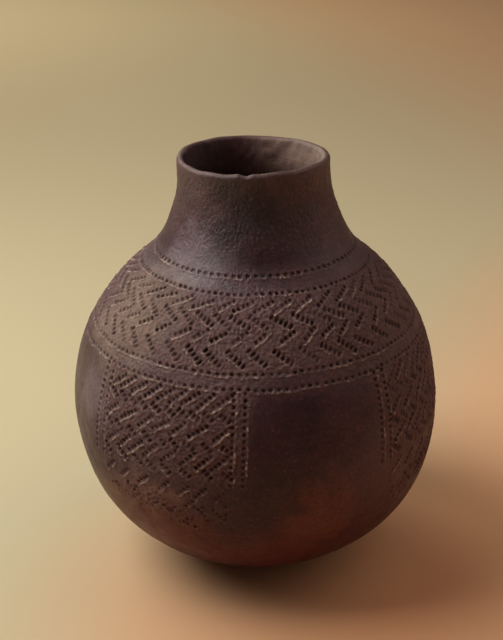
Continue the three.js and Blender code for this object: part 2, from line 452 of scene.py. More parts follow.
def patch(place, azimuth, reach):
    """The part of the field round a spot, with how far each point is sideways and up from it."""
    radius = float(outer_radius(place))
    low, high = np.searchsorted(row_places, [place - reach, place + reach])
    middle = round(azimuth / STEP_ANGLE)
    span = int(reach / radius / STEP_ANGLE) + 1
    columns = np.arange(middle - span, middle + span + 1)
    sideways = (columns * STEP_ANGLE - azimuth) * radius
    upwards = row_places[low:high] - place
    spot = np.ix_(np.arange(low, high), columns % TURN_STEPS)
    return spot, sideways[None, :], upwards[:, None]


def turned(sideways, upwards, lean):
    """How far a point is along and across a line that leans."""
    along = sideways * math.cos(lean) + upwards * math.sin(lean)
    across = upwards * math.cos(lean) - sideways * math.sin(lean)
    return along, across


def press_tooth(place, azimuth, lean, length, width, depth):
    """One tooth's pit, with the lip of clay that it pushes up, most of it below the pit."""
    spot, sideways, upwards = patch(place, azimuth, PIT_REACH * (length + width))
    along, across = turned(sideways, upwards, lean)
    reach = abs(2.0 * along / length) ** PIT_SQUARENESS + abs(2.0 * across / width) ** PIT_SQUARENESS
    reach = reach ** (1.0 / PIT_SQUARENESS)
    pits[spot] = np.maximum(pits[spot], depth * smooth_step((PIT_EDGE - reach) / PIT_SLOPE))
    below = at_least(LIP_ABOVE, smooth_step(0.5 - upwards / width))
    lip = LIP_HEIGHT * below * np.exp(-((reach - LIP_PLACE) / LIP_SPREAD) ** 2)
    ridges[spot] = np.maximum(ridges[spot], depth * lip)


def raise_burr(place, azimuth, lean, length, height):
    """A long thin ridge of clay beside a row of teeth, which wobbles and swells."""
    spot, sideways, upwards = patch(place, azimuth, length / 2.0 + MARK_ROOM)
    along, across = turned(sideways, upwards, lean)
    phase = random.uniform(0.0, 2.0 * math.pi)
    across = across + BURR_WOBBLE * np.sin(along / WOBBLE_LENGTH + phase)
    ends = smooth_step((length / 2.0 - abs(along)) / BURR_END)
    ends = ends * (1.0 - BURR_SWELL + BURR_SWELL * np.sin(along / SWELL_LENGTH - phase))
    burr = BURR_HEIGHT * height * ends * np.exp(-(across / BURR_WIDTH) ** 2)
    ridges[spot] = np.maximum(ridges[spot], burr)


def press_trough(place, azimuth, lean, length, width, depth):
    """The shallow trough that the comb's back leaves between the teeth of a stroke."""
    spot, sideways, upwards = patch(place, azimuth, length / 2.0 + MARK_ROOM)
    along, across = turned(sideways, upwards, lean)
    ends = smooth_step((length / 2.0 - abs(along)) / TROUGH_EDGE)
    sides = smooth_step((width / 2.0 - abs(across)) / TROUGH_EDGE)
    pits[spot] = np.maximum(pits[spot], TROUGH_SHARE * depth * ends * sides)


def comb_stroke(place, azimuth, lean, teeth):
    """One press of the comb: its teeth in a row, and the burr below them."""
    askew = lean > 0.0
    full = ASKEW_WIDTH if askew else FULL_WIDTH
    place += random.normal(0.0, STROKE_DRIFT)
    firmness = random.uniform(*STROKE_FIRMNESS)
    rocked = random.normal(0.0, COMB_ROCK)
    radius = float(outer_radius(place))
    for tooth in range(teeth):
        steps = tooth - (teeth - 1) / 2.0
        along = steps * TOOTH_PITCH + random.normal(0.0, TOOTH_STRAY)
        spot = place + along * math.sin(lean)
        turn = azimuth + along * math.cos(lean) / radius
        depth = firmness * (1.0 + rocked * steps) * random.uniform(*DEPTH_SHARES)
        width = full * random.uniform(*WIDTH_SHARES)
        press_tooth(spot, turn, lean + random.normal(0.0, TOOTH_TURN), TOOTH_LENGTH, width, depth)
    length = teeth * TOOTH_PITCH
    press_trough(place, azimuth, lean, length, full, firmness)
    away = -(full / 2.0 + BURR_AWAY)
    past = BURR_PAST if askew else 0.0
    spot = place + away * math.cos(lean) - past * math.sin(lean)
    turn = azimuth - (away * math.sin(lean) + past * math.cos(lean)) / radius
    height = (1.0 if askew else STRAIGHT_BURR) * random.uniform(*BURR_SHARES)
    raise_burr(spot, turn, lean, length + BURR_OVERHANG, height)


def ring_line(start, pitch):
    """A level line of teeth all round the jar, pressed a few at a time."""
    radius = float(outer_radius(start))
    count = round(2.0 * math.pi * radius / pitch)
    place = start
    for tooth in range(count):
        if tooth % RING_PRESS == 0:
            place = start + random.normal(0.0, RING_DRIFT)
        azimuth = (tooth + random.normal(0.0, RING_STRAY)) * 2.0 * math.pi / count
        press_tooth(place, azimuth, RING_LEAN, *RING_TOOTH, random.uniform(*RING_DEPTHS))
        below = place - RING_BURR_BELOW
        raise_burr(below, azimuth, 0.0, RING_BURR_LENGTH * pitch, random.uniform(*RING_BURRS))


def stamp_row(place, index, lean, teeth, first, spacing, strokes):
    """One row of strokes from its first azimuth on, with the stray that the solids give them."""
    for stroke in range(strokes):
        stray = STROKE_STRAY * math.sin(5 * stroke + 2 * index)
        own_lean = lean + LEAN_STRAY * math.sin(3 * stroke + index)
        azimuth = first + (stroke + stray) * spacing
        comb_stroke(place, math.radians(azimuth), math.radians(own_lean), teeth)


def herringbone():
    """Slanted strokes in rows that lean opposite ways, between the second and third ring."""
    for index, (share, lean, teeth, strokes, azimuth) in enumerate(BAND_ROWS):
        place = band_top - share * BAND_WIDTH
        stamp_row(place, index, lean, teeth, azimuth, 360 / strokes, strokes)


def span_at(place, width):
    """The azimuth that a width spans along a level line of the wall, in degrees."""
    return math.degrees(width / float(outer_radius(place)))


def border(azimuth):
    """A line of teeth down a panel's side, which drifts and wears off near its foot."""
    count = round(BORDER_LENGTH / BORDER_PITCH)
    for tooth in range(count):
        down = (tooth + 0.5) / count
        place = panel_top - down * BORDER_LENGTH
        turn = math.radians(azimuth + BORDER_DRIFT * down ** 2)
        depth = random.uniform(*BORDER_DEPTHS) * (1.0 - BORDER_FADE * down)
        press_tooth(place, turn, 0.0, *BORDER_TOOTH, depth)
        side = turn + BORDER_BURR_ASIDE / float(outer_radius(place))
        length = BORDER_BURR_LENGTH * BORDER_PITCH
        raise_burr(place, side, math.pi / 2.0, length, random.uniform(*BORDER_BURRS))


def stamped_panel(left, right):
    """Borders of two lines each, and rows of strokes between them that lean opposite ways."""
    gap = span_at(panel_top, BORDER_GAP)
    for azimuth in (left, left + gap, right - gap, right):
        border(azimuth)
    for index, (share, lean, teeth, spacing) in enumerate(PANEL_ROWS):
        place = panel_top - share * PANEL_LENGTH
        length = (teeth - 1) * TOOTH_PITCH + TOOTH_LENGTH
        reach = 0.5 * length * math.cos(math.radians(lean))
        inset = gap + span_at(place, reach + BORDER_CLEARANCE)
        width = right - left - 2.0 * inset
        spaces = max(1, round(width / span_at(place, spacing)))
        stamp_row(place, index, lean, teeth, left + inset, width / spaces, spaces + 1)


def worn_rows(left, right):
    """Short strokes and single teeth below a panel, all that wear has left of its last rows."""
    foot = panel_top - PANEL_LENGTH
    for stroke in range(WORN_STROKES):
        place = foot - random.uniform(*WORN_STROKES_DOWN)
        azimuth = math.radians(random.uniform(left + WORN_STROKES_IN, right - WORN_STROKES_IN))
        comb_stroke(place, azimuth, math.radians(random.choice(WORN_LEANS)), WORN_TEETH)
    for pock in range(POCKS):
        place = foot - random.uniform(*POCKS_DOWN)
        azimuth = math.radians(random.uniform(left + POCKS_IN, right - POCKS_IN))
        lean = random.uniform(-POCK_LEAN, POCK_LEAN)
        press_tooth(place, azimuth, lean, *POCK_TOOTH, random.uniform(*POCK_DEPTHS))


def scratch(height, azimuth, lean, length, depth):
    """A fine line scratched into the clay."""
    spot, sideways, upwards = patch(place_at(height), math.radians(azimuth), length / 2.0 + MARK_ROOM)
    along, across = turned(sideways, upwards, math.radians(lean))
    ends = smooth_step((length / 2.0 - abs(along)) / SCRATCH_END)
    line = depth * ends * np.exp(-(across / SCRATCH_WIDTH) ** 2)
    scratches[spot] = np.maximum(scratches[spot], line)


def neck_scratches():
    """Strokes left by the smoothing tool, just above the first ring and up the neck."""
    for mark in range(TOOL_MARKS):
        azimuth = random.uniform(*TOOL_MARK_AZIMUTHS)
        height = random.uniform(*TOOL_MARK_HEIGHTS)
        lean = random.uniform(*TOOL_MARK_LEANS)
        scratch(height, azimuth, lean, random.uniform(*TOOL_MARK_LENGTHS), TOOL_MARK_DEPTH)
    for line in range(FINE_LINES):
        height = random.uniform(*FINE_LINE_HEIGHTS)
        azimuth = random.uniform(0.0, 360.0)
        lean = random.normal(0.0, FINE_LINE_LEAN)
        scratch(height, azimuth, lean, random.uniform(*FINE_LINE_LENGTHS), FINE_LINE_DEPTH)


def ripples(size, places=row_places, radius=MIDDLE_RADIUS):
    """Soft random ripples of about that size in millimetres at a radius, from -1 to 1, closed
    round the jar."""
    across = max(4, round(2.0 * math.pi * radius / size))
    up = int(places[-1] / size) + 3
    lattice = random.uniform(-1.0, 1.0, (up, across))
    columns = np.arange(TURN_STEPS) / TURN_STEPS * across
    rows = places / size
    left = columns.astype(int)
    low = rows.astype(int)
    side = smooth_step(columns - left)[None, :]
    rise = smooth_step(rows - low)[:, None]
    right = (left + 1) % across
    bottom = lattice[np.ix_(low, left)] * (1 - side) + lattice[np.ix_(low, right)] * side
    top = lattice[np.ix_(low + 1, left)] * (1 - side) + lattice[np.ix_(low + 1, right)] * side
    return bottom * (1 - rise) + top * rise


def rippled(parts, places=row_places, radius=MIDDLE_RADIUS):
    """Ripples of several sizes together, each with its own strength."""
    return sum(strength * ripples(size, places, radius) for strength, size in parts)


def spread(field, reach):
    """The field blurred by averaging it with its neighbours, near ones first, out to the reach."""
    for step in range(1, reach + 1):
        field = (field + np.roll(field, step, axis=1) + np.roll(field, -step, axis=1)) / 3.0
        field = (field + np.roll(field, step, axis=0) + np.roll(field, -step, axis=0)) / 3.0
    return field


neck_root = place_at(RING_HEIGHTS[0])
band_top = neck_root - COLLAR_WIDTH
band_foot = band_top - BAND_WIDTH
panel_top = band_foot - EDGE_WIDTH
for ring, pitch in zip((neck_root, band_top, band_foot, panel_top), RING_PITCHES):
    ring_line(ring, pitch)
herringbone()
for panel in PANELS:
    stamped_panel(*panel)
    worn_rows(*panel)
neck_scratches()


# Wear, and the relief that the outer face gets

# Wear rubs the stamps off towards the underside, in patches
wear = (row_heights[:, None] - WORN_AWAY) / (WORN_BELOW - WORN_AWAY)
kept = smooth_step(wear + rippled(WEAR_RIPPLES))
pits *= kept

# The pushed-up clay has broken, and hands have worn it most on the far side from one azimuth
turns = np.arange(TURN_STEPS) * STEP_ANGLE
fresh = FRESH_MIDDLE + FRESH_SWING * np.cos(turns - math.radians(FRESH_AZIMUTH))
fresh = smooth_step(fresh)
pits *= at_least(PITS_LEFT, fresh)
whole = smooth_step(RIDGES_WHOLE + rippled(BREAK_RIPPLES))
ridges *= kept * at_least(RIDGES_LEFT, fresh) * at_least(BROKEN_LEFT, whole)
ridges *= 1.0 - np.clip(pits, 0.0, 1.0)

# Between the stamps the clay is crumbled and rough. Elsewhere burnishing has closed it, but
# the neck was only smoothed, and is rougher.
worked = smooth_step(CRUMB_GAIN * spread(pits, CRUMB_SPREAD))
crumbs = rippled(CRUMB_RIPPLES)
swell = rippled(SWELL_RIPPLES)
on_neck = smooth_step((row_places - neck_root - NECK_START) / NECK_FADE)[:, None]
worked = np.maximum(worked, NECK_CRUMBS * on_neck)
roughness = rippled(NECK_RIPPLES, radius=NECK_RADIUS)
relief = swell + worked * crumbs + on_neck * roughness + ridges
relief -= PIT_DEPTH * pits + SCRATCH_DEPTH * scratches
relief *= smooth_step((row_places[-1] - row_places) / LIP_FADE)[:, None]
relief *= smooth_step((row_places - row_places[0]) / FOOT_FADE)[:, None]

# Finger-smoothed clay inside, by height
inner_heights = np.arange(0.0, TOP + 2.0)
inner_relief = rippled(DENT_RIPPLES, inner_heights, NECK_RADIUS)

# Where the lip's fine waves rise and dip
fine_turns = random.uniform(0.0, 2.0 * math.pi, len(FINE_FOLDS))


# The pieces

# The step along the wall that its slope is read over, and the distance at which points merge
SLOPE_STEP = 0.25
MERGE_DISTANCE = 0.002

# A point this far in from the outer face starts to count as inside, over a short fade. The
# dents inside fade out towards the middle of the base.
HOLLOW_DEPTH = 3.0
HOLLOW_FADE = 2.0
MIDDLE_FADE = 40.0

# Corners sharper than this stay sharp
SMOOTH_ANGLE = 62.0


def outline_normal(radius, height, place):
    """Outward direction across the wall at a place along it, as a radius and a height."""
    ahead = place + SLOPE_STEP
    behind = place - SLOPE_STEP
    forward = np.array([radius(ahead) - radius(behind), height(ahead) - height(behind)])
    forward /= np.hypot(*forward)
    return forward[1], -forward[0]


def piece_outline(name):
    """Closed outline of a piece, with the row of the field that each outer point lies on."""
    first_row = sum(len(piece_rows[other]) for other in NAMES[:NAMES.index(name)])
    rows = piece_rows[name]
    points = [(r, h) for r, h in zip(outer_radius(rows), outer_height(rows))]
    owners = list(range(first_row, first_row + len(rows)))
    if name == NAMES[0]:
        flat = rows_between(0.0, points[0][0], PLAIN_ROWS[name])[:-1]
        points = [(r, 0.0) for r in flat] + points
        owners = [NO_ROW] * len(flat) + owners
    inside = rows_between(*inner_ends[name], INSIDE_ROWS.get(name, INSIDE_ROW))[::-1]
    inner = [(r, h) for r, h in zip(inner_radius(inside), inner_height(inside))]
    if name == NAMES[-1]:
        centre = 0.5 * (np.array(points[-1]) + np.array(inner[0]))
        arm = np.array(points[-1]) - centre
        for step in range(1, LIP_STEPS):
            turn = math.pi * step / LIP_STEPS
            points.append((centre[0] + arm[0] * math.cos(turn) - arm[1] * math.sin(turn),
                           centre[1] + arm[0] * math.sin(turn) + arm[1] * math.cos(turn)))
            owners.append(NO_ROW)
    points += inner
    owners += [NO_ROW if name == NAMES[-1] else INNER_SEAM]
    owners += [NO_ROW] * (len(inner) - 2)
    owners += [NO_ROW if name == NAMES[0] else INNER_SEAM]
    if name == NAMES[0]:
        floor = rows_between(0.0, inner[-1][0], INSIDE_ROW)[:-1][::-1]
        points += [(r, inner[-1][1]) for r in floor]
        owners += [NO_ROW] * len(floor)
    return points, owners


def only(piece):
    """Selects a piece alone and makes it active."""
    bpy.ops.object.select_all(action="DESELECT")
    piece.select_set(True)
    bpy.context.view_layer.objects.active = piece


def turn_piece(name):
    """A piece turned about the jar's axis from its outline, with the rows kept as an attribute."""
    points, owners = piece_outline(name)
    bpy.ops.object.select_all(action="DESELECT")
    bpy.ops.mesh.primitive_circle_add(vertices=len(points), radius=1.0)
    piece = bpy.context.object
    piece.name = name + "_clay"
    piece.data.name = piece.name
    corners = np.array([(radius, 0.0, height) for radius, height in points]) * MM
    piece.data.vertices.foreach_set("co", corners.ravel())
    rows = piece.data.attributes.new("row", "INT", "POINT")
    rows.data.foreach_set("value", owners)
    turn = piece.modifiers.new("turn", "SCREW")
    turn.axis = "Z"
    turn.angle = 2.0 * math.pi
    turn.steps = TURN_STEPS
    turn.render_steps = TURN_STEPS
    turn.use_merge_vertices = True
    turn.merge_threshold = MERGE_DISTANCE * MM
    bpy.ops.object.modifier_apply(modifier="turn")
    bpy.ops.object.mode_set(mode="EDIT")
    bpy.ops.mesh.select_all(action="SELECT")
    bpy.ops.mesh.remove_doubles(threshold=MERGE_DISTANCE * MM)
    bpy.ops.mesh.dissolve_degenerate(threshold=0.5 * MERGE_DISTANCE * MM)
    bpy.ops.mesh.select_all(action="SELECT")
    bpy.ops.mesh.normals_make_consistent(inside=False)
    bpy.ops.object.mode_set(mode="OBJECT")
    return piece


def hand_shape(corners):
    """The small faults of a pot made by hand: a wandering axis and a wavy, chipped lip."""
    x, y, z = corners.T / MM
    azimuth = np.arctan2(x, -y)
    near_lip = smooth_step((z - TOP + LIP_REACH) / LIP_REACH)
    wave = sum(size * np.sin(folds * azimuth + turn) for size, folds, turn in LIP_WAVES)
    wave += sum(FINE_WAVE * np.sin(folds * azimuth + turn)
                for folds, turn in zip(FINE_FOLDS, fine_turns))
    z = z + near_lip * LIP_WAVE * (wave - LIP_SINK)
    off = np.degrees(azimuth) - CHIP_AZIMUTH
    notch = smooth_step(1.0 - abs(off) / CHIP_WIDTH)
    z = z - CHIP_DEPTH * notch * smooth_step((z - TOP + CHIP_REACH) / CHIP_REACH)
    lift = smooth_step(z / FOOT_FADE)
    x = x + lift * AXIS_WANDER * np.sin(2.0 * math.pi * z / AXIS_WAVE)
    y = y + lift * AXIS_WANDER * np.cos(2.0 * math.pi * z / AXIS_WAVE)
    return np.column_stack([x, y, z]) * MM


def shape_piece(piece):
    """Presses the field into the outer face, and gives each point what its material reads."""
    mesh = piece.data
    count = len(mesh.vertices)
    corners = np.empty(count * 3)
    mesh.vertices.foreach_get("co", corners)
    corners = corners.reshape(-1, 3)
    rows = np.empty(count, dtype=int)
    mesh.attributes["row"].data.foreach_get("value", rows)
    outer = rows >= 0
    row = np.where(outer, rows, 0)
    angle = np.arctan2(corners[:, 0], -corners[:, 1])
    column = np.round(angle / STEP_ANGLE).astype(int) % TURN_STEPS
    out, up = outline_normal(outer_radius, outer_height, row_places)
    push = np.where(outer, relief[row, column], 0.0) * MM
    corners[:, 0] += push * out[row] * np.sin(angle)
    corners[:, 1] -= push * out[row] * np.cos(angle)
    corners[:, 2] += push * up[row]
    from_axis = np.hypot(corners[:, 0], corners[:, 1]) / MM
    edge = np.interp(corners[:, 2] / MM, row_heights, row_radii) - HOLLOW_DEPTH
    hollow = np.where(outer, 0.0, smooth_step((edge - from_axis) / HOLLOW_FADE))
    level = np.clip(np.round(corners[:, 2] / MM).astype(int), 0, len(inner_heights) - 1)
    dent = hollow * smooth_step(from_axis / MIDDLE_FADE) * inner_relief[level, column] * MM
    corners[:, 0] -= dent * np.sin(angle)
    corners[:, 1] += dent * np.cos(angle)
    mesh.vertices.foreach_set("co", hand_shape(corners).ravel())
    for name, field, elsewhere in (("stamped", pits, 0.0), ("ridged", ridges, 0.0),
                                   ("worked", worked, NECK_CRUMBS)):
        values = np.where(outer, field[row, column], elsewhere)
        mesh.attributes.new(name, "FLOAT", "POINT").data.foreach_set("value", values)
    mesh.attributes.new("inside", "FLOAT", "POINT").data.foreach_set("value", hollow)
    mesh.attributes.remove(mesh.attributes["row"])
    pairs = np.empty(len(mesh.edges) * 2, dtype=int)
    mesh.edges.foreach_get("vertices", pairs)
    on_seam = np.isin(rows, seam_marks)[pairs.reshape(-1, 2)].all(axis=1)
    mesh.attributes.new("sharp_edge", "BOOLEAN", "EDGE").data.foreach_set("value", on_seam)
    mesh.update()


# Materials

# Nearly all of a noise lies between these values
NOISE_LOW = 0.3
NOISE_HIGH = 0.7

# Clay colours from the base to the lip: red-brown, darkened at the very foot as painted shade,
# violet-brown, near-black, and a lip pale with dust.
# Their bounds wander by this share of the height, in a noise of this size in millimetres.
CLAY_AND_SHADE_BY_HEIGHT = (
    # Painted shade: this first stop is darker than the next, where the underside turns to the floor
    (0.0, "3e1b1d"),
    (0.16, "491f22"),
    (0.32, "3d1c26"),
    (0.46, "331926"),
    (0.66, "433030"),
    (0.78, "35242c"),
    (0.88, "2d1b20"),
    (1.0, "4c3b38"),
)
DRIFT = 0.07
DRIFT_SIZE = 60.0

# Level streaks of burnishing: their size, drawn out sideways and thinned upwards, and where
# a streak starts and is full, its strength and its colour
STREAK_SIZE = 5.0
STREAK_SHAPE = (0.25, 0.25, 1.5)
STREAKS = ((0.42, 0.72, 0.2, "5c383e"), (0.46, 0.25, 0.3, "1c0f14"))

# Fire-clouds, with patches of painted shade, sheen and glints among them: middle in metres,
# reach in millimetres, strength and colour. Their bounds are ragged by a noise of this size,
# which moves them by about this many metres, and each is full within this share of its reach.
CLOUDS_AND_PAINTED_LIGHT = (
    ((0.010, -0.112, 0.050), 58.0, 0.6, "55262a"),
    ((-0.067, -0.096, 0.066), 56.0, 0.6, "66291c"),
    # Painted shade on the front of the lower belly
    ((-0.006, -0.128, 0.108), 52.0, 0.6, "23101c"),
    ((0.040, -0.119, 0.088), 38.0, 0.5, "723c28"),
    ((0.080, -0.100, 0.105), 56.0, 0.5, "60464a"),
    # Painted shade on the front below the band
    ((0.018, -0.122, 0.155), 44.0, 0.55, "21131a"),
    ((-0.100, -0.076, 0.078), 34.0, 0.5, "74442e"),
    # Painted glints on the lower left of the stamped panel
    ((-0.071, -0.104, 0.104), 32.0, 0.4, "8c6c60"),
    # Pale dust and painted light on the left of the band
    ((-0.083, -0.055, 0.205), 56.0, 0.6, "8f7d69"),
    # Painted sheen at the neck root, on the left
    ((-0.036, -0.052, 0.244), 32.0, 0.35, "85777c"),
    # Painted shade on the right of the band
    ((0.070, -0.075, 0.200), 46.0, 0.5, "2e1c1e"),
    # Painted sheen on the plain clay at the far left of the belly
    ((-0.112, -0.061, 0.150), 36.0, 0.75, "6a5a5e"),
    # Painted shade on the front of the neck, over its smoke-blackened clay
    ((0.0, -0.053, 0.270), 46.0, 0.95, "0d0709"),
    ((0.0, 0.125, 0.09), 75.0, 0.7, "6a301c"),
    ((-0.1, 0.06, 0.15), 70.0, 0.7, "1e1416"),
    ((0.12, 0.02, 0.06), 50.0, 0.6, "2a1517"),
)
RAGGED_SIZE = 18.0
RAGGED_BY = 0.06
CLOUD_CORE = 0.2

# Patches under the fire-clouds, and grit over them: size in millimetres, detail, where a
# patch starts and where it is full, its strength, and its colour
CLAY_PATCHES = (
    (70.0, 2.0, 0.50, 0.66, 0.45, "1f1318"),
    (26.0, 4.0, 0.52, 0.72, 0.35, "5a3135"),
    (14.0, 5.0, 0.52, 0.30, 0.40, "3a1512"),
    (6.0, 5.0, 0.50, 0.68, 0.35, "603236"),
)
GRIT = (
    (3.0, 4.0, 0.48, 0.30, 0.50, "190c0e"),
    (1.8, 3.0, 0.56, 0.74, 0.30, "7c4d4b"),
    (1.8, 3.0, 0.45, 0.30, 0.50, "160c0d"),
)

# Dust, dirt and painted light by mask: where it starts and is full, its strength and its
# colour. It is broken by a noise of this size, between these values of it, and its least
# strength is this.
DUST_AND_PAINTED_LIGHT = (
    ("worked", 0.0, 1.0, 0.5, "6e5049"),
    ("ridged", 0.12, 0.6, 0.85, "b39d8b"),
    # Pale dust and a painted highlight on the ridges
    ("stamped", 0.1, 0.75, 0.85, "1d0d0d"),
# Dirt and painted shade in the pits
)
DUST_AND_LIGHT_SIZE = 2.0
DUST_AND_LIGHT_BREAK = (0.38, 0.58)
DUST_AND_LIGHT_LEAST = 0.2

# The inside, from soot and painted shade low down and on the left, where the wall shades it, to
# dust and painted light high up and on the right, where the lamp reaches in: how much a metre
# to the right counts, as a share of the height, and where the colours start and end
SOOTY_SHADE_TO_LIT_DUST = ((0.0, "261b1e"), (0.35, "4c302d"), (0.65, "745c52"), (1.0, "817064"))
LIT_RIGHT = 4.0
LIT_DUST_FROM = 0.8
LIT_DUST_TO = 1.15

# Roughness of burnished clay, its patches' size, and how much rougher the other places are
BURNISHED = (0.34, 0.5)
BURNISH_SIZE = 9.0
ROUGHER = (("worked", 0.25), ("stamped", 0.2), ("inside", 0.3))

# Sheen from the underside, which standing and scraping have dulled, to the polished belly,
# and the shares of the height between which it grows
SHEEN = (0.1, 0.4)
SHEEN_HEIGHTS = (0.15, 0.55)

# Pores and grit, drawn coarser than they are so that they show: their size and depth, and
# the share of the depth that burnishing leaves
PORE_SIZE = 1.5
PORE_DEPTH = 0.9
PORES_LEFT = 0.35

# The studio's paper, its tints of painted shade along a direction across the floor with the
# places in metres where a tint starts and is full, and the redder painted shade and reflected
# light round the jar's foot
PAPER = "b7ae8c"
PAPER_SHADE_TINTS = (
    ((1.0, 0.3, 0.0), 0.5, 1.2, "cbab84"),
    ((1.6, -0.8, 0.0), -0.1, 0.3, "cfa57c"),
)
# Painted shade and reflected light round the foot
FOOT_PAINTED_SHADE = "cf8f60"
FOOT_SHADE_MIDDLE = (0.02, -0.09, 0.0)
FOOT_SHADE_REACH = 0.24
FOOT_SHADE_STRENGTH = 0.55


def linear(hex_colour):
    """An sRGB hex colour as the linear colour that a shader takes."""
    channels = [int(hex_colour[i:i + 2], 16) / 255.0 for i in (0, 2, 4)]
    return [c / 12.92 if c <= 0.04045 else ((c + 0.055) / 1.055) ** 2.4 for c in channels] + [1.0]


def add_node(tree, kind, output, sockets, stops=(), **settings):
    """Adds a node with its settings, sets or links its sockets, and gives one of its outputs."""
    node = tree.nodes.new(kind)
    for name, value in settings.items():
        setattr(node, name, value)
    for socket, value in sockets.items():
        if isinstance(value, bpy.types.NodeSocket):
            tree.links.new(value, node.inputs[socket])
        else:
            node.inputs[socket].default_value = value
    for index, (place, colour) in enumerate(stops):
        band = node.color_ramp.elements
        mark = band[index] if index < len(band) else band.new(place)
        mark.position = place
        mark.color = linear(colour)
    return node.outputs[output]


def mottled(tree, place, colour, patches):
    """The colour with patches laid over it, each with a noise of its own."""
    for size, detail, start, full, strength, tone in patches:
        noise = add_node(tree, "ShaderNodeTexNoise", "Fac", {
            "Vector": place, "Scale": 1.0 / (size * MM), "Detail": detail, "Roughness": 0.65})
        share = add_node(tree, "ShaderNodeMapRange", "Result", {
            "Value": noise, "From Min": start, "From Max": full, "To Max": strength})
        colour = add_node(tree, "ShaderNodeMix", 2, {
            0: share, 6: colour, 7: linear(tone)}, data_type="RGBA")
    return colour


def clay_and_painted_light(tree, place, height):
    """The clay's colour: bands by height, with painted shade at the foot, level streaks of
    burnishing, patches, and fire-clouds where smoke or air reached the pot in the fire, among
    them patches of painted shade, sheen and glints."""
    colour = add_node(tree, "ShaderNodeValToRGB", "Color", {"Fac": height}, stops=CLAY_AND_SHADE_BY_HEIGHT)
    level = add_node(tree, "ShaderNodeMapping", "Vector", {"Vector": place, "Scale": STREAK_SHAPE})
    streaks = add_node(tree, "ShaderNodeTexNoise", "Fac", {
        "Vector": level, "Scale": 1.0 / (STREAK_SIZE * MM), "Detail": 5.0})
    for start, full, strength, tone in STREAKS:
        share = add_node(tree, "ShaderNodeMapRange", "Result", {
            "Value": streaks, "From Min": start, "From Max": full, "To Max": strength})
        colour = add_node(tree, "ShaderNodeMix", 2, {
            0: share, 6: colour, 7: linear(tone)}, data_type="RGBA")
    colour = mottled(tree, place, colour, CLAY_PATCHES)

    ragged = add_node(tree, "ShaderNodeTexNoise", "Color", {
        "Vector": place, "Scale": 1.0 / (RAGGED_SIZE * MM), "Detail": 4.0})
    ragged = add_node(tree, "ShaderNodeVectorMath", "Vector", {
        0: ragged, 1: (-0.5, -0.5, -0.5)}, operation="ADD")
    ragged = add_node(tree, "ShaderNodeVectorMath", "Vector", {
        0: ragged, 1: (RAGGED_BY, RAGGED_BY, RAGGED_BY), 2: place}, operation="MULTIPLY_ADD")
    for middle, reach, strength, tone in CLOUDS_AND_PAINTED_LIGHT:
        away = add_node(tree, "ShaderNodeVectorMath", "Value", {
            0: ragged, 1: middle}, operation="DISTANCE")
        share = add_node(tree, "ShaderNodeMapRange", "Result", {
            "Value": away, "From Min": reach * MM, "From Max": CLOUD_CORE * reach * MM,
            "To Max": strength}, interpolation_type="SMOOTHSTEP")
        colour = add_node(tree, "ShaderNodeMix", 2, {
            0: share, 6: colour, 7: linear(tone)}, data_type="RGBA")
    return mottled(tree, place, colour, GRIT)


def dusted_and_painted_light(tree, place, colour, masks):
    """The colour with pale dust on the crumbled clay, pale dust and a painted highlight on its
    ridges, and dirt and painted shade in the pits.
    """
    crumbs = add_node(tree, "ShaderNodeTexNoise", "Fac", {
        "Vector": place, "Scale": 1.0 / (DUST_AND_LIGHT_SIZE * MM), "Detail": 3.0, "Roughness": 0.7})
    for name, start, full, strength, tone in DUST_AND_PAINTED_LIGHT:
        broken = add_node(tree, "ShaderNodeMapRange", "Result", {
            "Value": crumbs, "From Min": DUST_AND_LIGHT_BREAK[0], "From Max": DUST_AND_LIGHT_BREAK[1],
            "To Min": DUST_AND_LIGHT_LEAST, "To Max": strength})
        share = add_node(tree, "ShaderNodeMapRange", "Result", {
            "Value": masks[name], "From Min": start, "From Max": full})
        share = add_node(tree, "ShaderNodeMath", 0, {0: share, 1: broken}, operation="MULTIPLY")
        colour = add_node(tree, "ShaderNodeMix", 2, {
            0: share, 6: colour, 7: linear(tone)}, data_type="RGBA")
    return colour


def inside_colour(tree, place, height):
    """The unburnished inside, sooty and in painted shade below and on its left, and pale with
    dust and painted light near the mouth and on its right.
    """
    sideways = add_node(tree, "ShaderNodeSeparateXYZ", "X", {"Vector": place})
    lit_dust = add_node(tree, "ShaderNodeMath", 0, {
        0: sideways, 1: LIT_RIGHT, 2: height}, operation="MULTIPLY_ADD")
    lit_dust = add_node(tree, "ShaderNodeMapRange", "Result", {
        "Value": lit_dust, "From Min": LIT_DUST_FROM, "From Max": LIT_DUST_TO})
    return add_node(tree, "ShaderNodeValToRGB", "Color", {"Fac": lit_dust}, stops=SOOTY_SHADE_TO_LIT_DUST)


def clay_roughness(tree, place, masks):
    """Burnished clay is the smoothest, in soft patches, and the pits and the inside are matt."""
    gloss = add_node(tree, "ShaderNodeTexNoise", "Fac", {
        "Vector": place, "Scale": 1.0 / (BURNISH_SIZE * MM), "Detail": 3.0})
    rough = add_node(tree, "ShaderNodeMapRange", "Result", {
        "Value": gloss, "From Min": NOISE_LOW, "From Max": NOISE_HIGH,
        "To Min": BURNISHED[0], "To Max": BURNISHED[1]})
    for name, more in ROUGHER:
        rough = add_node(tree, "ShaderNodeMath", 0, {
            0: masks[name], 1: more, 2: rough}, operation="MULTIPLY_ADD")
    return rough


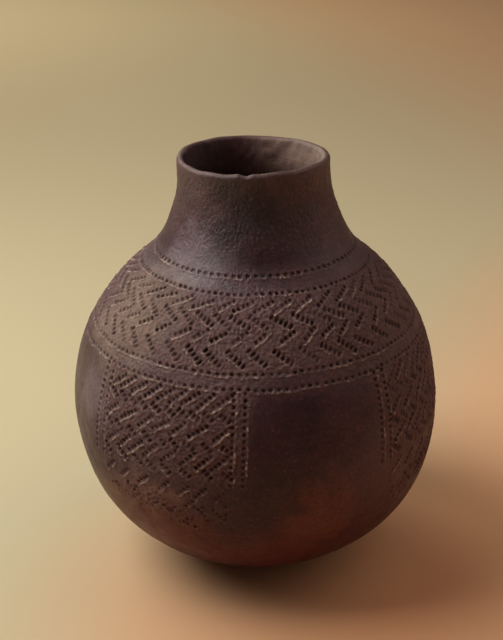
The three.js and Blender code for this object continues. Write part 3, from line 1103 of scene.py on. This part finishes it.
def clay_pores(tree, place, masks):
    """Open pores and grit, deeper where the comb has broken the surface."""
    pores = add_node(tree, "ShaderNodeTexNoise", "Fac", {
        "Vector": place, "Scale": 1.0 / (PORE_SIZE * MM), "Detail": 3.0, "Roughness": 0.7})
    coarse = add_node(tree, "ShaderNodeMapRange", "Result", {
        "Value": masks["worked"], "To Min": PORES_LEFT, "To Max": 1.0})
    pores = add_node(tree, "ShaderNodeMath", 0, {0: pores, 1: coarse}, operation="MULTIPLY")
    return add_node(tree, "ShaderNodeBump", "Normal", {
        "Height": pores, "Strength": 1.0, "Distance": PORE_DEPTH * MM})


def burnished_clay():
    """Low-fired clay, burnished with a pebble and smoke-blackened: it gives the eye a dark,
    patchy brown with a soft sheen, matt in the stamped pits and pale with dust on the ridges.
    Its colour also holds painted shade in the pits, at the foot, on the front and right and
    inside, and painted highlights, sheen and glints on the ridges, on the left and in the mouth."""
    material = bpy.data.materials.new("burnished smoke-fired clay")
    material.use_nodes = True
    tree = material.node_tree
    shader = tree.nodes["Principled BSDF"]
    place = add_node(tree, "ShaderNodeTexCoord", "Object", {})
    masks = {name: add_node(tree, "ShaderNodeAttribute", "Fac", {}, attribute_name=name)
             for name in ("stamped", "ridged", "worked", "inside")}

    # The share of the jar's height, which wanders so that nothing ends on a level line
    rise = add_node(tree, "ShaderNodeSeparateXYZ", "Z", {"Vector": place})
    drift = add_node(tree, "ShaderNodeTexNoise", "Fac", {
        "Vector": place, "Scale": 1.0 / (DRIFT_SIZE * MM), "Detail": 3.0})
    drift = add_node(tree, "ShaderNodeMapRange", "Result", {
        "Value": drift, "From Min": NOISE_LOW, "From Max": NOISE_HIGH,
        "To Min": -DRIFT, "To Max": DRIFT})
    height = add_node(tree, "ShaderNodeMapRange", "Result", {"Value": rise, "From Max": TOP * MM})
    height = add_node(tree, "ShaderNodeMath", 0, {0: height, 1: drift}, operation="ADD")

    colour = clay_and_painted_light(tree, place, height)
    colour = dusted_and_painted_light(tree, place, colour, masks)
    colour = add_node(tree, "ShaderNodeMix", 2, {
        0: masks["inside"], 6: colour, 7: inside_colour(tree, place, height)}, data_type="RGBA")
    tree.links.new(colour, shader.inputs["Base Color"])
    tree.links.new(clay_roughness(tree, place, masks), shader.inputs["Roughness"])
    tree.links.new(clay_pores(tree, place, masks), shader.inputs["Normal"])

    sheen = add_node(tree, "ShaderNodeMapRange", "Result", {
        "Value": height, "From Min": SHEEN_HEIGHTS[0], "From Max": SHEEN_HEIGHTS[1],
        "To Min": SHEEN[0], "To Max": SHEEN[1]})
    tree.links.new(sheen, shader.inputs["Specular IOR Level"])
    shader.inputs["IOR"].default_value = 1.5
    return material


def floor_paper():
    """Smooth seamless studio paper, matt: it gives the eye a plain ground, cream on the left,
    with painted shade in tan on the right and in front and in red round the jar's foot."""
    material = bpy.data.materials.new("cream studio paper")
    material.use_nodes = True
    tree = material.node_tree
    shader = tree.nodes["Principled BSDF"]
    place = add_node(tree, "ShaderNodeTexCoord", "Object", {})
    colour = linear(PAPER)
    for way, start, full, tone in PAPER_SHADE_TINTS:
        along = add_node(tree, "ShaderNodeVectorMath", "Value", {
            0: place, 1: way}, operation="DOT_PRODUCT")
        share = add_node(tree, "ShaderNodeMapRange", "Result", {
            "Value": along, "From Min": start, "From Max": full}, interpolation_type="SMOOTHSTEP")
        colour = add_node(tree, "ShaderNodeMix", 2, {
            0: share, 6: colour, 7: linear(tone)}, data_type="RGBA")

    # Painted shade and reflected light round the foot: the paper is a little redder where the
    # jar's own shade and the red light from its underside fall
    away = add_node(tree, "ShaderNodeVectorMath", "Value", {
        0: place, 1: FOOT_SHADE_MIDDLE}, operation="DISTANCE")
    share = add_node(tree, "ShaderNodeMapRange", "Result", {
        "Value": away, "From Min": FOOT_SHADE_REACH, "From Max": 0.25 * FOOT_SHADE_REACH,
        "To Max": FOOT_SHADE_STRENGTH}, interpolation_type="SMOOTHSTEP")
    colour = add_node(tree, "ShaderNodeMix", 2, {
        0: share, 6: colour, 7: linear(FOOT_PAINTED_SHADE)}, data_type="RGBA")
    tree.links.new(colour, shader.inputs["Base Color"])
    shader.inputs["Roughness"].default_value = 0.9
    return material


def make_jar():
    """Every piece of the jar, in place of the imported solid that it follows."""
    clay = burnished_clay()
    for name in NAMES:
        piece = turn_piece(name)
        shape_piece(piece)
        only(piece)
        bpy.ops.object.shade_smooth_by_angle(angle=math.radians(SMOOTH_ANGLE))
        piece.data.materials.append(clay)
        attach(piece, "root")
        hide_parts(name)


# The studio

# The camera's place in millimetres, tilt and roll in degrees, and focal length in pixels of
# the picture, worked out from the jar's outline and mouth. Its sensor is in millimetres, and
# the nearest thing it sees in metres.
CAMERA_BACK = 757.5
CAMERA_HEIGHT = 505.2
CAMERA_SIDE = -2.6
CAMERA_PITCH = 23.53
CAMERA_ROLL = 0.75
IMAGE_HEIGHT = 640
FOCAL_PIXELS = 1160.1
SENSOR = 36.0
NEAREST = 0.01

# Lamps: name, place and target, size, power in watts, and colour, with lengths in metres
LAMPS = (
    ("left window", (-0.78, 0.02, 1.06), (0.0, 0.0, 0.14), 0.9, 19.5, "fffaf5"),
    ("right reflector", (0.9, 0.1, 0.9), (0.1, 0.0, 0.05), 1.2, 4.4, "ffe6d6"),
    ("background lamp", (-1.2, 2.5, 1.6), (-0.8, 2.3, 0.0), 1.6, 35.0, "fff0dc"),
)
AIR = "ffd6cc"
AIR_STRENGTH = 0.14
FLOOR_RADIUS = 7.0
FLOOR_CORNERS = 96


def make_camera():
    """The camera where the photograph's was, with its roll."""
    bpy.ops.object.camera_add(location=(CAMERA_SIDE * MM, -CAMERA_BACK * MM, CAMERA_HEIGHT * MM))
    camera = bpy.context.object
    camera.data.sensor_width = SENSOR
    camera.data.lens = FOCAL_PIXELS * SENSOR / IMAGE_HEIGHT
    camera.data.clip_start = NEAREST
    tilt = Quaternion((1, 0, 0), math.radians(90.0 - CAMERA_PITCH))
    roll = Quaternion((0, 0, 1), math.radians(-CAMERA_ROLL))
    camera.rotation_mode = "QUATERNION"
    camera.rotation_quaternion = tilt @ roll
    bpy.context.scene.camera = camera


def make_lamp(name, place, target, size, power, colour):
    """A soft square lamp that faces its target."""
    bpy.ops.object.light_add(type="AREA", location=place)
    lamp = bpy.context.object
    lamp.name = name
    lamp.data.size = size
    lamp.data.energy = power
    lamp.data.color = linear(colour)[:3]
    way = Vector(target) - Vector(place)
    lamp.rotation_mode = "QUATERNION"
    lamp.rotation_quaternion = way.to_track_quat("-Z", "Y")


def make_studio():
    """A paper floor, a soft window light from the left with a reflector, and a lit background."""
    bpy.ops.object.select_all(action="DESELECT")
    bpy.ops.mesh.primitive_circle_add(vertices=FLOOR_CORNERS, radius=FLOOR_RADIUS, fill_type="NGON")
    floor = bpy.context.object
    floor.name = "studio_floor"
    floor.data.materials.append(floor_paper())
    for lamp in LAMPS:
        make_lamp(*lamp)
    world = bpy.data.worlds.new("studio air")
    bpy.context.scene.world = world
    world.use_nodes = True
    air = world.node_tree.nodes["Background"]
    air.inputs["Color"].default_value = linear(AIR)
    air.inputs["Strength"].default_value = AIR_STRENGTH
    bpy.context.scene.view_settings.view_transform = "Standard"


make_jar()
make_studio()
make_camera()
